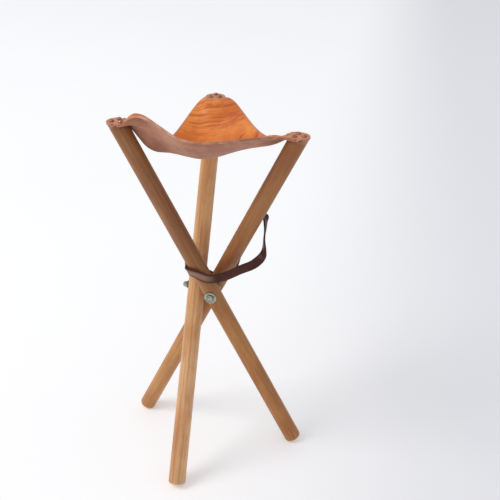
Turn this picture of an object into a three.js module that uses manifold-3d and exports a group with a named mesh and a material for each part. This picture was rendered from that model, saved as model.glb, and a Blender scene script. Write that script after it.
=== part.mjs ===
// A folding three-legged field stool: round wooden legs that cross at a two-way
// pivot, a thick leather seat screwed to the leg tops, and a leather strap loop.
// Millimetres, +Z up, origin on the floor under the middle of the stool.
import * as THREE from 'three';
import { mergeVertices } from 'three/addons/utils/BufferGeometryUtils.js';
import Module from 'manifold-3d';

const wasm = await Module();
wasm.setup();

// ---- driving dimensions ----
const CROSSING = new THREE.Vector3(0.5, 3.4, 322); // middle of the eye on the through bolt
const LEG_RADIUS = 15;
const FOOT_ROUNDING = 3;
const LEAN = THREE.MathUtils.degToRad(25.5); // legs A and B, each side of the pivot's upright
const SPREAD = THREE.MathUtils.degToRad(30.8); // leg C, from the pivot's upright
const PIVOT_TILT = THREE.MathUtils.degToRad(3.9); // the through bolt climbs towards the back
const TOP_HEIGHT = { a: 624, b: 611, c: 616 };
const GAP = 0.3; // left between pieces that touch
const CLEARANCE = 0.15; // round a pin in its bore, on the radius
const SLIVER = 0.02; // edges shorter than this are merged after the cuts

const BOLT_RADIUS = 4;
const EYE = { radius: 10, thickness: 4, shankRadius: 3 };
const WASHER = { radius: 10.8, thickness: 1.5 };
const SMALL_WASHER = { radius: 7, thickness: 1.2 };
const CAP_NUT = { flats: 13, height: 10, hexHeight: 6 };
const SMALL_CAP_NUT = { flats: 10, height: 8, hexHeight: 4.5 };
const BOLT_HEAD = { radius: 6.5, height: 3.6 };

const LEATHER = 4; // thickness of the seat
const TAB_RADIUS = 17; // rounded corner of the seat, on a leg top
const LEG_ROOM = 2; // between the bent leather and the side of a leg
const FLAT_REACH = 20; // the leather lies flat this far from the middle of a leg top
const SCREW = { headRadius: 4, headHeight: 3, shankRadius: 1.7, length: 20, circle: 9 };

const STRAP = { width: 16, thickness: 3 };

// The crossing's own axes: the through bolt, the eye bolt and the upright between them.
const alongBolt = new THREE.Vector3(0, Math.cos(PIVOT_TILT), Math.sin(PIVOT_TILT));
const alongEye = new THREE.Vector3(-1, 0, 0);
const upright = new THREE.Vector3().crossVectors(alongBolt, alongEye);

const LEG_OFFSET = LEG_RADIUS + EYE.thickness / 2 + GAP;
const EYE_LEG_OFFSET = 32.8;
const DIRECTION = {
  a: upright.clone().multiplyScalar(Math.cos(LEAN)).addScaledVector(alongEye, Math.sin(LEAN)),
  b: upright.clone().multiplyScalar(Math.cos(LEAN)).addScaledVector(alongEye, -Math.sin(LEAN)),
  c: upright.clone().multiplyScalar(Math.cos(SPREAD)).addScaledVector(alongBolt, Math.sin(SPREAD)),
};
const CENTRE = {
  a: CROSSING.clone().addScaledVector(alongBolt, -LEG_OFFSET),
  b: CROSSING.clone().addScaledVector(alongBolt, LEG_OFFSET),
  c: CROSSING.clone().addScaledVector(alongEye, EYE_LEG_OFFSET),
};
const LEGS = ['a', 'b', 'c'];
const UP = new THREE.Vector3(0, 0, 1);
const DOWN = new THREE.Vector3(0, 0, -1);

// ---- helpers ----
function solidOf(geometry) {
  const bare = geometry.index ? geometry.toNonIndexed() : geometry.clone();
  bare.deleteAttribute('normal');
  bare.deleteAttribute('uv');
  const welded = mergeVertices(bare, 1e-4);
  return new wasm.Manifold(new wasm.Mesh({
    numProp: 3,
    vertProperties: new Float32Array(welded.attributes.position.array),
    triVerts: new Uint32Array(welded.index.array),
  }));
}

function geometryOf(solid) {
  const mesh = solid.getMesh();
  const geometry = new THREE.BufferGeometry();
  geometry.setAttribute('position', new THREE.Float32BufferAttribute(mesh.vertProperties, 3));
  geometry.setIndex(new THREE.BufferAttribute(mesh.triVerts, 1));
  geometry.computeVertexNormals();
  return geometry;
}

// Stands a geometry made along +Y on a point, pointing along a direction.
function stand(geometry, point, direction) {
  const turn = new THREE.Quaternion().setFromUnitVectors(new THREE.Vector3(0, 1, 0), direction);
  return geometry.applyQuaternion(turn).translate(point.x, point.y, point.z);
}

// A rod from a start point along a direction.
function rod(radius, length, start, direction, sides = 32) {
  const middle = start.clone().addScaledVector(direction, length / 2);
  return stand(new THREE.CylinderGeometry(radius, radius, length, sides), middle, direction);
}

function ring(inner, outer, thickness, start, direction) {
  const profile = [[inner, 0], [outer, 0], [outer, thickness], [inner, thickness], [inner, 0]];
  const points = profile.map(([x, y]) => new THREE.Vector2(x, y));
  return stand(new THREE.LatheGeometry(points, 32), start, direction);
}

// Where a line through a leg's drilled point reaches a height.
function onLeg(leg, height) {
  const reach = (height - CENTRE[leg].z) / DIRECTION[leg].z;
  return CENTRE[leg].clone().addScaledVector(DIRECTION[leg], reach);
}

// ---- legs ----
// The foot is cut square and its rim rounded, so the leg stands on that rim.
function footPoint(leg) {
  const lean = Math.acos(DIRECTION[leg].z);
  const rise = (LEG_RADIUS - FOOT_ROUNDING) * Math.sin(lean) + FOOT_ROUNDING * (1 - Math.cos(lean));
  return onLeg(leg, rise);
}

function legBlank(leg) {
  const foot = footPoint(leg);
  const top = onLeg(leg, TOP_HEIGHT[leg] + 2 * LEG_RADIUS);
  const length = foot.distanceTo(top);
  const points = [new THREE.Vector2(0, 0)];
  const arcSteps = 4;
  for (let i = 0; i <= arcSteps; i += 1) {
    const angle = (i / arcSteps) * Math.PI / 2;
    points.push(new THREE.Vector2(
      LEG_RADIUS - FOOT_ROUNDING + FOOT_ROUNDING * Math.sin(angle),
      FOOT_ROUNDING - FOOT_ROUNDING * Math.cos(angle),
    ));
  }
  points.push(new THREE.Vector2(LEG_RADIUS, length));
  points.push(new THREE.Vector2(0, length));
  return stand(new THREE.LatheGeometry(points, 40), foot, DIRECTION[leg]);
}

function boreOf(leg) {
  const direction = leg === 'c' ? alongEye : alongBolt;
  const radius = (leg === 'c' ? EYE.shankRadius : BOLT_RADIUS) + CLEARANCE;
  const length = 4 * LEG_RADIUS;
  const start = CENTRE[leg].clone().addScaledVector(direction, -length / 2);
  return rod(radius, length, start, direction);
}

function legSolid(leg) {
  const top = onLeg(leg, TOP_HEIGHT[leg]);
  const size = 6 * LEG_RADIUS;
  const cutter = new THREE.BoxGeometry(size, size, size).translate(top.x, top.y, top.z + size / 2);
  let solid = solidOf(legBlank(leg)).subtract(solidOf(cutter)).subtract(solidOf(boreOf(leg)));
  for (const place of screwPlaces(leg)) {
    solid = solid.subtract(solidOf(screwHole(place)));
  }
  return solid;
}

// ---- pivot: through bolt, eye bolt, washers and cap nuts ----
function domed(radius, height, start, direction) {
  const points = [new THREE.Vector2(0, 0), new THREE.Vector2(radius, 0), new THREE.Vector2(radius, height * 0.3)];
  const steps = 6;
  for (let i = 1; i <= steps; i += 1) {
    const angle = (i / steps) * Math.PI / 2;
    points.push(new THREE.Vector2(radius * Math.cos(angle), height * (0.3 + 0.7 * Math.sin(angle))));
  }
  points[points.length - 1].x = 0;
  return stand(new THREE.LatheGeometry(points, 32), start, direction);
}

function capNut(size, boreRadius, start, direction) {
  const hex = rod(size.flats / Math.sqrt(3), size.hexHeight, start, direction, 6);
  const shoulder = start.clone().addScaledVector(direction, size.hexHeight - 0.5);
  const cap = domed(size.flats * 0.42, size.height - size.hexHeight + 0.5, shoulder, direction);
  const bore = rod(boreRadius, size.hexHeight + 1, start.clone().addScaledVector(direction, -1), direction);
  return solidOf(hex).add(solidOf(cap)).subtract(solidOf(bore));
}

const FRONT = alongBolt.clone().negate();
const headFace = CROSSING.clone().addScaledVector(FRONT, LEG_OFFSET + LEG_RADIUS + 2 * GAP + WASHER.thickness);
const nutFace = CROSSING.clone().addScaledVector(alongBolt, LEG_OFFSET + LEG_RADIUS + 2 * GAP + WASHER.thickness);
const eyeNutFace = CENTRE.c.clone().addScaledVector(alongEye, LEG_RADIUS + 2 * GAP + SMALL_WASHER.thickness);

function throughBolt() {
  const end = nutFace.clone().addScaledVector(alongBolt, CAP_NUT.hexHeight - GAP);
  const shank = rod(BOLT_RADIUS, headFace.distanceTo(end) + 1, headFace.clone().addScaledVector(FRONT, 1), alongBolt);
  const head = domed(BOLT_HEAD.radius, BOLT_HEAD.height, headFace, FRONT);
  return solidOf(head).add(solidOf(shank));
}

function eyeBolt() {
  const back = CROSSING.clone().addScaledVector(alongBolt, -EYE.thickness / 2);
  const disc = rod(EYE.radius, EYE.thickness, back, alongBolt, 40);
  const neck = CROSSING.clone().addScaledVector(alongEye, EYE.radius - 2);
  const end = eyeNutFace.clone().addScaledVector(alongEye, SMALL_CAP_NUT.hexHeight - GAP);
  const shank = rod(EYE.shankRadius, neck.distanceTo(end), neck, alongEye);
  const bore = rod(BOLT_RADIUS + CLEARANCE, 4 * EYE.thickness, back.addScaledVector(alongBolt, -EYE.thickness), alongBolt);
  return solidOf(disc).add(solidOf(shank)).subtract(solidOf(bore));
}

function washerAt(size, boreRadius, face, direction) {
  const start = face.clone().addScaledVector(direction, -size.thickness - GAP);
  return solidOf(ring(boreRadius + CLEARANCE, size.radius, size.thickness, start, direction));
}

// ---- seat ----
// The leather is a quartic triangle patch. Its net starts as the flat triangle between three
// points beyond the leg tops, and each net point is moved (along the edge, inward, up).
const CORNER_REACH = 34;
const EDGES = [['a', 'b'], ['b', 'c'], ['c', 'a']];
const EDGE_SHIFTS = {
  ab: [[75, -45, 180], [-80, -45, -190], [-110, -45, 85]],
  bc: [[-5, 35, -35], [-15, 50, -70], [-15, 0, 70]],
  ca: [[50, 10, 85], [5, 80, -165], [45, 35, -40]],
};
const HOLLOW = { a: -112, b: -60, c: -130 }; // how far the net hangs near each corner

const seatCentre = new THREE.Vector3();
for (const leg of LEGS) {
  seatCentre.addScaledVector(onLeg(leg, TOP_HEIGHT[leg]), 1 / 3);
}

function tabCentre(leg) {
  const point = onLeg(leg, TOP_HEIGHT[leg]);
  point.z += GAP + LEATHER / 2;
  return point;
}

function outward(leg) {
  const away = tabCentre(leg).sub(seatCentre);
  away.z = 0;
  return away.normalize();
}

const TABS = Object.fromEntries(LEGS.map((leg) => [leg, { centre: tabCentre(leg), outward: outward(leg) }]));

function cornerPoint(leg) {
  return TABS[leg].centre.clone().addScaledVector(TABS[leg].outward, CORNER_REACH);
}

function seatNet() {
  const net = [];
  const place = (i, j, k, point) => net.push({ i, j, k, point });
  const corner = LEGS.map(cornerPoint);
  for (const [from, to] of EDGES) {
    const start = LEGS.indexOf(from);
    const end = LEGS.indexOf(to);
    const along = corner[end].clone().sub(corner[start]).setZ(0).normalize();
    const inward = new THREE.Vector3(0, 0, 1).cross(along);
    EDGE_SHIFTS[from + to].forEach(([slide, draw, lift], step) => {
      const point = corner[start].clone().lerp(corner[end], (step + 1) / 4);
      point.addScaledVector(along, slide).addScaledVector(inward, draw);
      point.z += lift;
      const power = [0, 0, 0];
      power[start] = 3 - step;
      power[end] = step + 1;
      place(...power, point);
    });
  }
  LEGS.forEach((leg, at) => {
    const corners = [0, 0, 0];
    corners[at] = 4;
    place(...corners, corner[at]);
    const inner = [1, 1, 1];
    inner[at] = 2;
    const point = new THREE.Vector3();
    inner.forEach((share, n) => point.addScaledVector(corner[n], share / 4));
    point.z += HOLLOW[leg];
    place(...inner, point);
  });
  return net;
}

const NET = seatNet();
const FACTORIAL = [1, 1, 2, 6, 24];

function patchPoint([u, v, w]) {
  const point = new THREE.Vector3();
  for (const { i, j, k, point: knot } of NET) {
    const count = FACTORIAL[4] / (FACTORIAL[i] * FACTORIAL[j] * FACTORIAL[k]);
    point.addScaledVector(knot, count * u ** i * v ** j * w ** k);
  }
  return point;
}

// Near a leg top the leather lies flat on it.
function flatten(point) {
  for (const leg of LEGS) {
    const { centre } = TABS[leg];
    const flat = Math.hypot(point.x - centre.x, point.y - centre.y);
    const share = THREE.MathUtils.smoothstep(flat, FLAT_REACH, 2.7 * LEG_RADIUS);
    point.z = THREE.MathUtils.lerp(centre.z, point.z, share);
  }
  return keepOffLegs(point);
}

// Below a leg's top the leather stays outside the leg.
function keepOffLegs(point) {
  for (const leg of LEGS) {
    const nearest = onLeg(leg, point.z);
    const along = DIRECTION[leg].dot(point.clone().sub(nearest));
    const away = point.clone().sub(nearest).addScaledVector(DIRECTION[leg], -along);
    const clear = LEG_RADIUS + LEATHER / 2 + LEG_ROOM;
    if (point.z < TABS[leg].centre.z - GAP && away.length() < clear) {
      point.addScaledVector(away.clone().normalize(), clear - away.length());
    }
  }
  return point;
}

// The seat's corners are round tabs, wider than the patch is there. This is how far each
// point of a side moves: on to the tab's arc, then back to the patch's edge beyond it.
const TAB_SHARE = 0.25; // of a side's points, at each end
const TAB_TURN = THREE.MathUtils.degToRad(100);

function tabShift(leg, turnSide, share, point) {
  const { centre, outward: away } = TABS[leg];
  const turn = Math.min(share / TAB_SHARE, 1) * TAB_TURN * turnSide;
  const target = away.clone().applyAxisAngle(UP, turn).multiplyScalar(TAB_RADIUS).add(centre);
  const hold = 1 - THREE.MathUtils.smoothstep(share, TAB_SHARE, 1.9 * TAB_SHARE);
  return target.sub(point).setZ(0).multiplyScalar(hold);
}

// The patch's outline: each point's place in the patch and how far it moves.
function seatOutline(stepsPerSide) {
  const outline = [];
  for (let side = 0; side < 3; side += 1) {
    for (let step = 0; step < stepsPerSide; step += 1) {
      const even = step / stepsPerSide;
      const t = even - 0.14 * Math.sin(2 * Math.PI * even);
      const edge = [0, 0, 0];
      edge[side] = 1 - t;
      edge[(side + 1) % 3] = t;
      const point = patchPoint(edge);
      const shift = even < 0.5
        ? tabShift(LEGS[side], 1, even, point)
        : tabShift(LEGS[(side + 1) % 3], -1, 1 - even, point);
      outline.push({ edge, shift });
    }
  }
  return outline;
}

function seatSheet() {
  const outline = seatOutline(28);
  const count = outline.length;
  const rings = 16;
  const middle = [patchPoint([1 / 3, 1 / 3, 1 / 3])];
  for (let r = 1; r <= rings; r += 1) {
    const share = 1 - (1 - r / rings) ** 1.2;
    for (const { edge, shift } of outline) {
      const point = patchPoint(edge.map((x) => 1 / 3 + share * (x - 1 / 3)));
      middle.push(flatten(point.addScaledVector(shift, share ** 4)));
    }
  }
  const faces = [];
  const at = (r, s) => 1 + (r - 1) * count + ((s + count) % count);
  relax(middle, rings, count, at);
  for (let s = 0; s < count; s += 1) {
    faces.push([0, at(1, s), at(1, s + 1)]);
    for (let r = 1; r < rings; r += 1) {
      faces.push([at(r, s), at(r + 1, s), at(r + 1, s + 1)]);
      faces.push([at(r, s), at(r + 1, s + 1), at(r, s + 1)]);
    }
  }
  return thicken(middle, faces, count, LEATHER);
}

// Thick leather takes no sharp folds: each inner point moves towards its neighbours.
function relax(middle, rings, count, at) {
  for (let pass = 0; pass < 4; pass += 1) {
    const before = middle.map((p) => p.clone());
    for (let r = 2; r <= rings; r += 1) {
      for (let s = 0; s < count; s += 1) {
        const beside = [before[at(r, s - 1)], before[at(r, s + 1)]];
        if (r < rings) {
          beside.push(before[at(r - 1, s)], before[at(r + 1, s)]);
        }
        const mean = new THREE.Vector3();
        beside.forEach((p) => mean.addScaledVector(p, 1 / beside.length));
        const point = middle[at(r, s)];
        const onTab = LEGS.some((leg) => {
          const { centre } = TABS[leg];
          return Math.hypot(point.x - centre.x, point.y - centre.y) < FLAT_REACH;
        });
        if (!onTab) {
          keepOffLegs(point.lerp(mean, 0.5));
        }
      }
    }
  }
}

// A closed sheet of even thickness from a middle surface whose last points are its rim.
function thicken(middle, faces, rimCount, thickness) {
  const surface = new THREE.BufferGeometry().setFromPoints(middle);
  surface.setIndex(faces.flat());
  surface.computeVertexNormals();
  const normals = surface.attributes.normal;
  const layer = (side) => middle.map((p, n) => (
    p.clone().addScaledVector(new THREE.Vector3().fromBufferAttribute(normals, n), side * thickness / 2)
  ));
  const total = middle.length;
  const index = [];
  for (const [a, b, c] of faces) {
    index.push(a, b, c, total + a, total + c, total + b);
  }
  const first = total - rimCount;
  for (let s = 0; s < rimCount; s += 1) {
    const p = first + s;
    const q = first + ((s + 1) % rimCount);
    index.push(p, total + p, q, q, total + p, total + q);
  }
  const sheet = new THREE.BufferGeometry().setFromPoints([...layer(1), ...layer(-1)]);
  sheet.setIndex(index);
  return sheet;
}

// ---- seat screws ----
function screwPlaces(leg) {
  const { centre, outward: away } = TABS[leg];
  const places = [];
  for (let n = 0; n < 3; n += 1) {
    const turned = away.clone().applyAxisAngle(new THREE.Vector3(0, 0, 1), (n * 2 * Math.PI) / 3);
    const place = centre.clone().addScaledVector(turned, SCREW.circle);
    place.z = centre.z + LEATHER / 2 + GAP;
    places.push(place);
  }
  return places;
}

function screwSolid(place) {
  const head = domed(SCREW.headRadius, SCREW.headHeight, place, UP);
  const top = place.clone().addScaledVector(UP, 1);
  return solidOf(head).add(solidOf(rod(SCREW.shankRadius, SCREW.length + 1, top, DOWN, 16)));
}

function screwHole(place) {
  const top = place.clone().addScaledVector(UP, 2 * LEATHER);
  return rod(SCREW.shankRadius + CLEARANCE, SCREW.length + 2 * LEATHER + 1, top, DOWN, 16);
}

// The room a leg's upper end needs, so the leather that bends over its rim stays off it.
function legRoom(leg) {
  const low = onLeg(leg, TOP_HEIGHT[leg] - 6 * LEG_RADIUS);
  const room = rod(LEG_RADIUS + GAP, 9 * LEG_RADIUS, low, DIRECTION[leg], 40);
  const size = 12 * LEG_RADIUS;
  const above = new THREE.BoxGeometry(size, size, size);
  above.translate(low.x, low.y, TOP_HEIGHT[leg] + GAP / 2 + size / 2);
  return solidOf(room).subtract(solidOf(above));
}

function seatSolid() {
  let solid = solidOf(seatSheet());
  for (const leg of LEGS) {
    solid = solid.subtract(legRoom(leg));
    for (const place of screwPlaces(leg)) {
      solid = solid.subtract(solidOf(screwHole(place)));
    }
  }
  return solid.simplify(SLIVER);
}

// ---- strap ----
// The loop's middle line from the crossing, and the way the band's width lies at each point.
const STRAP_PATH = [
  { at: [-42.5, -20, 45.5], width: [-0.43, -0.06, 0.9] },
  { at: [-38, -33.5, 45.5], width: [-0.43, -0.06, 0.9] },
  { at: [-22.5, -40, 46], width: [-0.43, -0.06, 0.9] },
  { at: [-4, -36.5, 38], width: [-0.43, -0.06, 0.9] },
  { at: [20, -26, 38], width: [-0.4, 0, 0.9] },
  { at: [48, -16, 50], width: [-0.5, 0.1, 1] },
  { at: [72, -8, 61], width: [-0.7, 0.3, 1] },
  { at: [85, 0, 76], width: [-0.7, 1, 0.6] },
  { at: [85, 7, 103], width: [-0.2, 1, 0] },
  { at: [85, 15, 122], width: [0, 1, -0.1] },
  { at: [81, 27, 134], width: [0.2, 1, 0.1] },
  { at: [66, 35, 122], width: [0.6, 0.7, 0.2] },
  { at: [38, 36, 68], width: [0.9, 0, -0.5] },
  { at: [19, 42, 12], width: [0.7, 0, 0.3] },
  { at: [-4, 49.5, -8], width: [0.2, 0, 1] },
  { at: [-32, 43, 3], width: [0.1, 0.4, 1] },
  { at: [-51, 28, 20], width: [0, 0.45, 0.9] },
  { at: [-53, 5, 36], width: [0, 0.45, 0.9] },
];

function strapBand() {
  const toVector = ([x, y, z]) => new THREE.Vector3(x, y, z);
  const line = new THREE.CatmullRomCurve3(
    STRAP_PATH.map(({ at }) => toVector(at).add(CROSSING)), true, 'centripetal',
  );
  const widths = new THREE.CatmullRomCurve3(STRAP_PATH.map(({ width }) => toVector(width)), true);
  const steps = 102;
  const points = [];
  for (let n = 0; n < steps; n += 1) {
    const centre = line.getPoint(n / steps);
    const tangent = line.getTangent(n / steps);
    const across = widths.getPoint(n / steps);
    across.addScaledVector(tangent, -across.dot(tangent)).normalize();
    const face = new THREE.Vector3().crossVectors(tangent, across);
    for (const [side, depth] of [[-1, -1], [1, -1], [1, 1], [-1, 1]]) {
      points.push(centre.clone()
        .addScaledVector(across, side * STRAP.width / 2)
        .addScaledVector(face, depth * STRAP.thickness / 2));
    }
  }
  const index = [];
  for (let n = 0; n < steps; n += 1) {
    const here = 4 * n;
    const next = 4 * ((n + 1) % steps);
    for (let k = 0; k < 4; k += 1) {
      const m = (k + 1) % 4;
      index.push(here + k, here + m, next + k, here + m, next + m, next + k);
    }
  }
  const band = new THREE.BufferGeometry().setFromPoints(points);
  band.setIndex(index);
  return band;
}

// ---- the stool ----
const LOOK = {
  wood: { color: 0xb0783f, roughness: 0.5, metalness: 0 },
  leather: { color: 0xc87a42, roughness: 0.6, metalness: 0 },
  strap: { color: 0x55281f, roughness: 0.5, metalness: 0 },
  zinc: { color: 0xa9aca5, roughness: 0.35, metalness: 1 },
  copper: { color: 0x8a5238, roughness: 0.4, metalness: 1 },
};

const stool = new THREE.Group();
stool.name = 'folding_stool';

function addPiece(name, solid, look) {
  const mesh = new THREE.Mesh(geometryOf(solid), new THREE.MeshStandardMaterial(LOOK[look]));
  mesh.name = name;
  stool.add(mesh);
}

for (const leg of LEGS) {
  addPiece(`leg_${leg}`, legSolid(leg), 'wood');
}
addPiece('through_bolt', throughBolt(), 'zinc');
addPiece('through_head_washer', washerAt(WASHER, BOLT_RADIUS, headFace, FRONT), 'zinc');
addPiece('through_nut_washer', washerAt(WASHER, BOLT_RADIUS, nutFace, alongBolt), 'zinc');
addPiece('through_nut', capNut(CAP_NUT, BOLT_RADIUS + CLEARANCE, nutFace, alongBolt), 'zinc');
addPiece('eye_bolt', eyeBolt(), 'zinc');
addPiece('eye_washer', washerAt(SMALL_WASHER, EYE.shankRadius, eyeNutFace, alongEye), 'zinc');
addPiece('eye_nut', capNut(SMALL_CAP_NUT, EYE.shankRadius + CLEARANCE, eyeNutFace, alongEye), 'zinc');
addPiece('seat', seatSolid(), 'leather');
for (const leg of LEGS) {
  screwPlaces(leg).forEach((place, n) => addPiece(`screw_${leg}${n + 1}`, screwSolid(place), 'copper'));
}
addPiece('strap', solidOf(strapBand()), 'strap');

export default stool;
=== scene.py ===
"""The looks of a folding three-legged field stool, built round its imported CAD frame.

Sizes are in millimetres until a mesh is made, and the finished meshes are in metres.
"""

import math

import bpy
import numpy as np
from mathutils import Matrix, Vector, noise


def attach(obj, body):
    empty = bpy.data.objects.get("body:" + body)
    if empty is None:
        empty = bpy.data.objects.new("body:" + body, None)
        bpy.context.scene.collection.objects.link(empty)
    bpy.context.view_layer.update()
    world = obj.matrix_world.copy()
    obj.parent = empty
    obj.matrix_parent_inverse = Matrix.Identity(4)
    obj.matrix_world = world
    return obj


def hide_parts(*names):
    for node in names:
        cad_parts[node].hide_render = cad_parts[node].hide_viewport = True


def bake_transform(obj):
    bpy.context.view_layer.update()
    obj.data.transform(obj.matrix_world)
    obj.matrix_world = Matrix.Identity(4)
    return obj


MM = 0.001

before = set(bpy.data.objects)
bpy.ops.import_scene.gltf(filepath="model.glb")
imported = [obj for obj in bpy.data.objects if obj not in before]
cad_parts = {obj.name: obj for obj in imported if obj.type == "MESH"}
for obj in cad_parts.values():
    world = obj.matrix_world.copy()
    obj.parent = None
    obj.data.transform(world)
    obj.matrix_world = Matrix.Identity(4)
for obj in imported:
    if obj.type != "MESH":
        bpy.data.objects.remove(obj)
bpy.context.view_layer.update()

# ---- camera ----
CAMERA_PLACE = Vector((0.2887, -1.1428, 1.0328))
CAMERA_TURN = math.radians(11.155)  # about the vertical
CAMERA_PITCH = math.radians(28.29)  # down
CAMERA_ROLL = math.radians(0.848)


def make_camera():
    turn, pitch, roll = CAMERA_TURN, CAMERA_PITCH, CAMERA_ROLL
    ahead = Vector((-math.sin(turn) * math.cos(pitch), math.cos(turn) * math.cos(pitch), -math.sin(pitch)))
    level = Vector((math.cos(turn), math.sin(turn), 0))
    above = level.cross(ahead)
    right = math.cos(roll) * level + math.sin(roll) * above
    up = math.cos(roll) * above - math.sin(roll) * level
    data = bpy.data.cameras.new("camera")
    data.sensor_width = 36
    data.lens = 56.3
    camera = bpy.data.objects.new("camera", data)
    bpy.context.scene.collection.objects.link(camera)
    axes = Matrix((right, up, -ahead)).transposed()
    camera.matrix_world = Matrix.Translation(CAMERA_PLACE) @ axes.to_4x4()
    bpy.context.scene.camera = camera


make_camera()

# ---- driving dimensions, as in the CAD source ----
CROSSING = np.array((0.5, 3.4, 322.0))
LEG_RADIUS = 15
FOOT_ROUNDING = 3
LEAN = math.radians(25.5)
SPREAD = math.radians(30.8)
PIVOT_TILT = math.radians(3.9)
TOP_HEIGHT = {"a": 624, "b": 611, "c": 616}
GAP = 0.3
CLEARANCE = 0.15
BOLT_RADIUS = 4
EYE_RADIUS, EYE_THICKNESS, EYE_SHANK = 10, 4, 3
WASHER_RADIUS, WASHER_THICKNESS = 10.8, 1.5
SMALL_WASHER_RADIUS, SMALL_WASHER_THICKNESS = 7, 1.2
HEAD_RADIUS, HEAD_HEIGHT = 6.5, 3.6
NUT = {"flats": 13, "height": 10, "hex": 6, "bore": BOLT_RADIUS + CLEARANCE}
SMALL_NUT = {"flats": 10, "height": 8, "hex": 4.5, "bore": EYE_SHANK + CLEARANCE}
LEATHER = 4
TAB_RADIUS = 17
LEG_ROOM = 2
FLAT_REACH = 20
FLAT_END = 2.7 * LEG_RADIUS
SCREW_HEAD, SCREW_HEIGHT, SCREW_SHANK, SCREW_LENGTH, SCREW_CIRCLE = 4, 3, 1.7, 20, 9
STRAP_WIDTH, STRAP_THICKNESS = 16, 3

ALONG_BOLT = np.array((0, math.cos(PIVOT_TILT), math.sin(PIVOT_TILT)))
ALONG_EYE = np.array((-1.0, 0, 0))
UPRIGHT = np.cross(ALONG_BOLT, ALONG_EYE)
LEG_OFFSET = LEG_RADIUS + EYE_THICKNESS / 2 + GAP
EYE_LEG_OFFSET = 32.8
LEGS = ("a", "b", "c")
DIRECTION = {
    "a": math.cos(LEAN) * UPRIGHT + math.sin(LEAN) * ALONG_EYE,
    "b": math.cos(LEAN) * UPRIGHT - math.sin(LEAN) * ALONG_EYE,
    "c": math.cos(SPREAD) * UPRIGHT + math.sin(SPREAD) * ALONG_BOLT,
}
CENTRE = {
    "a": CROSSING - LEG_OFFSET * ALONG_BOLT,
    "b": CROSSING + LEG_OFFSET * ALONG_BOLT,
    "c": CROSSING + EYE_LEG_OFFSET * ALONG_EYE,
}


def on_leg(leg, height):
    """Where a leg's middle line reaches a height."""
    reach = (height - CENTRE[leg][2]) / DIRECTION[leg][2]
    return CENTRE[leg] + reach * DIRECTION[leg]


# ---- materials ----
def srgb(red, green, blue):
    """A colour given as it looks on a screen, 0 to 255, as the shader's linear colour."""
    linear = []
    for value in (red, green, blue):
        share = value / 255
        linear.append(share / 12.92 if share <= 0.04045 else ((share + 0.055) / 1.055) ** 2.4)
    return (*linear, 1)


class Finish:
    """A node material, and short ways to add to it."""

    def __init__(self, name):
        self.material = bpy.data.materials.new(name)
        self.material.use_nodes = True
        self.tree = self.material.node_tree
        self.tree.nodes.clear()

    def add(self, kind, inputs=None, **settings):
        node = self.tree.nodes.new(kind)
        for key, value in settings.items():
            setattr(node, key, value)
        for socket, value in (inputs or {}).items():
            if isinstance(value, bpy.types.NodeSocket):
                self.tree.links.new(value, node.inputs[socket])
            else:
                node.inputs[socket].default_value = value
        return node

    def object_place(self):
        return self.add("ShaderNodeTexCoord").outputs["Object"]

    def attribute(self, name):
        return self.add("ShaderNodeAttribute", attribute_name=name).outputs["Vector"]

    def mapped(self, vector, scale=(1, 1, 1), location=(0, 0, 0), rotation=(0, 0, 0)):
        sockets = {"Vector": vector, "Scale": scale, "Location": location, "Rotation": rotation}
        return self.add("ShaderNodeMapping", sockets).outputs["Vector"]

    def part(self, vector, axis):
        return self.add("ShaderNodeSeparateXYZ", {"Vector": vector}).outputs[axis]

    def noise(self, vector, scale, detail=4, roughness=0.55, distortion=0):
        sockets = {
            "Vector": vector,
            "Scale": scale,
            "Detail": detail,
            "Roughness": roughness,
            "Distortion": distortion,
        }
        return self.add("ShaderNodeTexNoise", sockets).outputs["Fac"]

    def cells(self, vector, scale):
        sockets = {"Vector": vector, "Scale": scale}
        return self.add("ShaderNodeTexVoronoi", sockets, feature="SMOOTH_F1").outputs["Distance"]

    def rings(self, vector, scale, distortion):
        sockets = {"Vector": vector, "Scale": scale, "Distortion": distortion}
        sockets |= {"Detail": 3, "Detail Scale": 1.5}
        wave = self.add("ShaderNodeTexWave", sockets, wave_type="RINGS", rings_direction="Z")
        return wave.outputs["Fac"]

    def span(self, value, low, high, start=0, end=1):
        """value between low and high, taken smoothly to start and end."""
        sockets = {"Value": value, "From Min": low, "From Max": high, "To Min": start, "To Max": end}
        return self.add("ShaderNodeMapRange", sockets, interpolation_type="SMOOTHSTEP").outputs["Result"]

    def sums(self, operation, first, second):
        node = self.add("ShaderNodeMath", {0: first, 1: second}, operation=operation)
        return node.outputs["Value"]

    def mix(self, share, first, second, blend="MIX"):
        node = self.add("ShaderNodeMix", data_type="RGBA", blend_type=blend)
        for socket, value in ((0, share), (6, first), (7, second)):
            if isinstance(value, bpy.types.NodeSocket):
                self.tree.links.new(value, node.inputs[socket])
            else:
                node.inputs[socket].default_value = value
        return node.outputs[2]

    def bump(self, height, distance, strength=1, normal=None):
        sockets = {"Height": height, "Distance": distance, "Strength": strength}
        if normal is not None:
            sockets["Normal"] = normal
        return self.add("ShaderNodeBump", sockets).outputs["Normal"]

    def done(self, **inputs):
        """Ends with the surface shader. Its sockets are named with _ for spaces."""
        sockets = {key.replace("_", " "): value for key, value in inputs.items()}
        shader = self.add("ShaderNodeBsdfPrincipled", sockets)
        self.add("ShaderNodeOutputMaterial", {"Surface": shader.outputs["BSDF"]})
        return self.material


# Painted light and shade on each dowel, as colour factors at its foot and at its top: legs a and b darker,
# most of all at their tops under the seat, and leg c lighter where it faces up into the light.
LEG_PAINTED_LIGHT_AND_SHADE = {
    "a": ((0.75, 0.61, 0.34, 1), (0.5, 0.39, 0.23, 1)),
    "b": ((0.9, 0.82, 0.6, 1), (0.57, 0.42, 0.2, 1)),
    "c": ((1.14, 1.22, 1.36, 1), (1.2, 1.26, 1.24, 1)),
}


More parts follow.
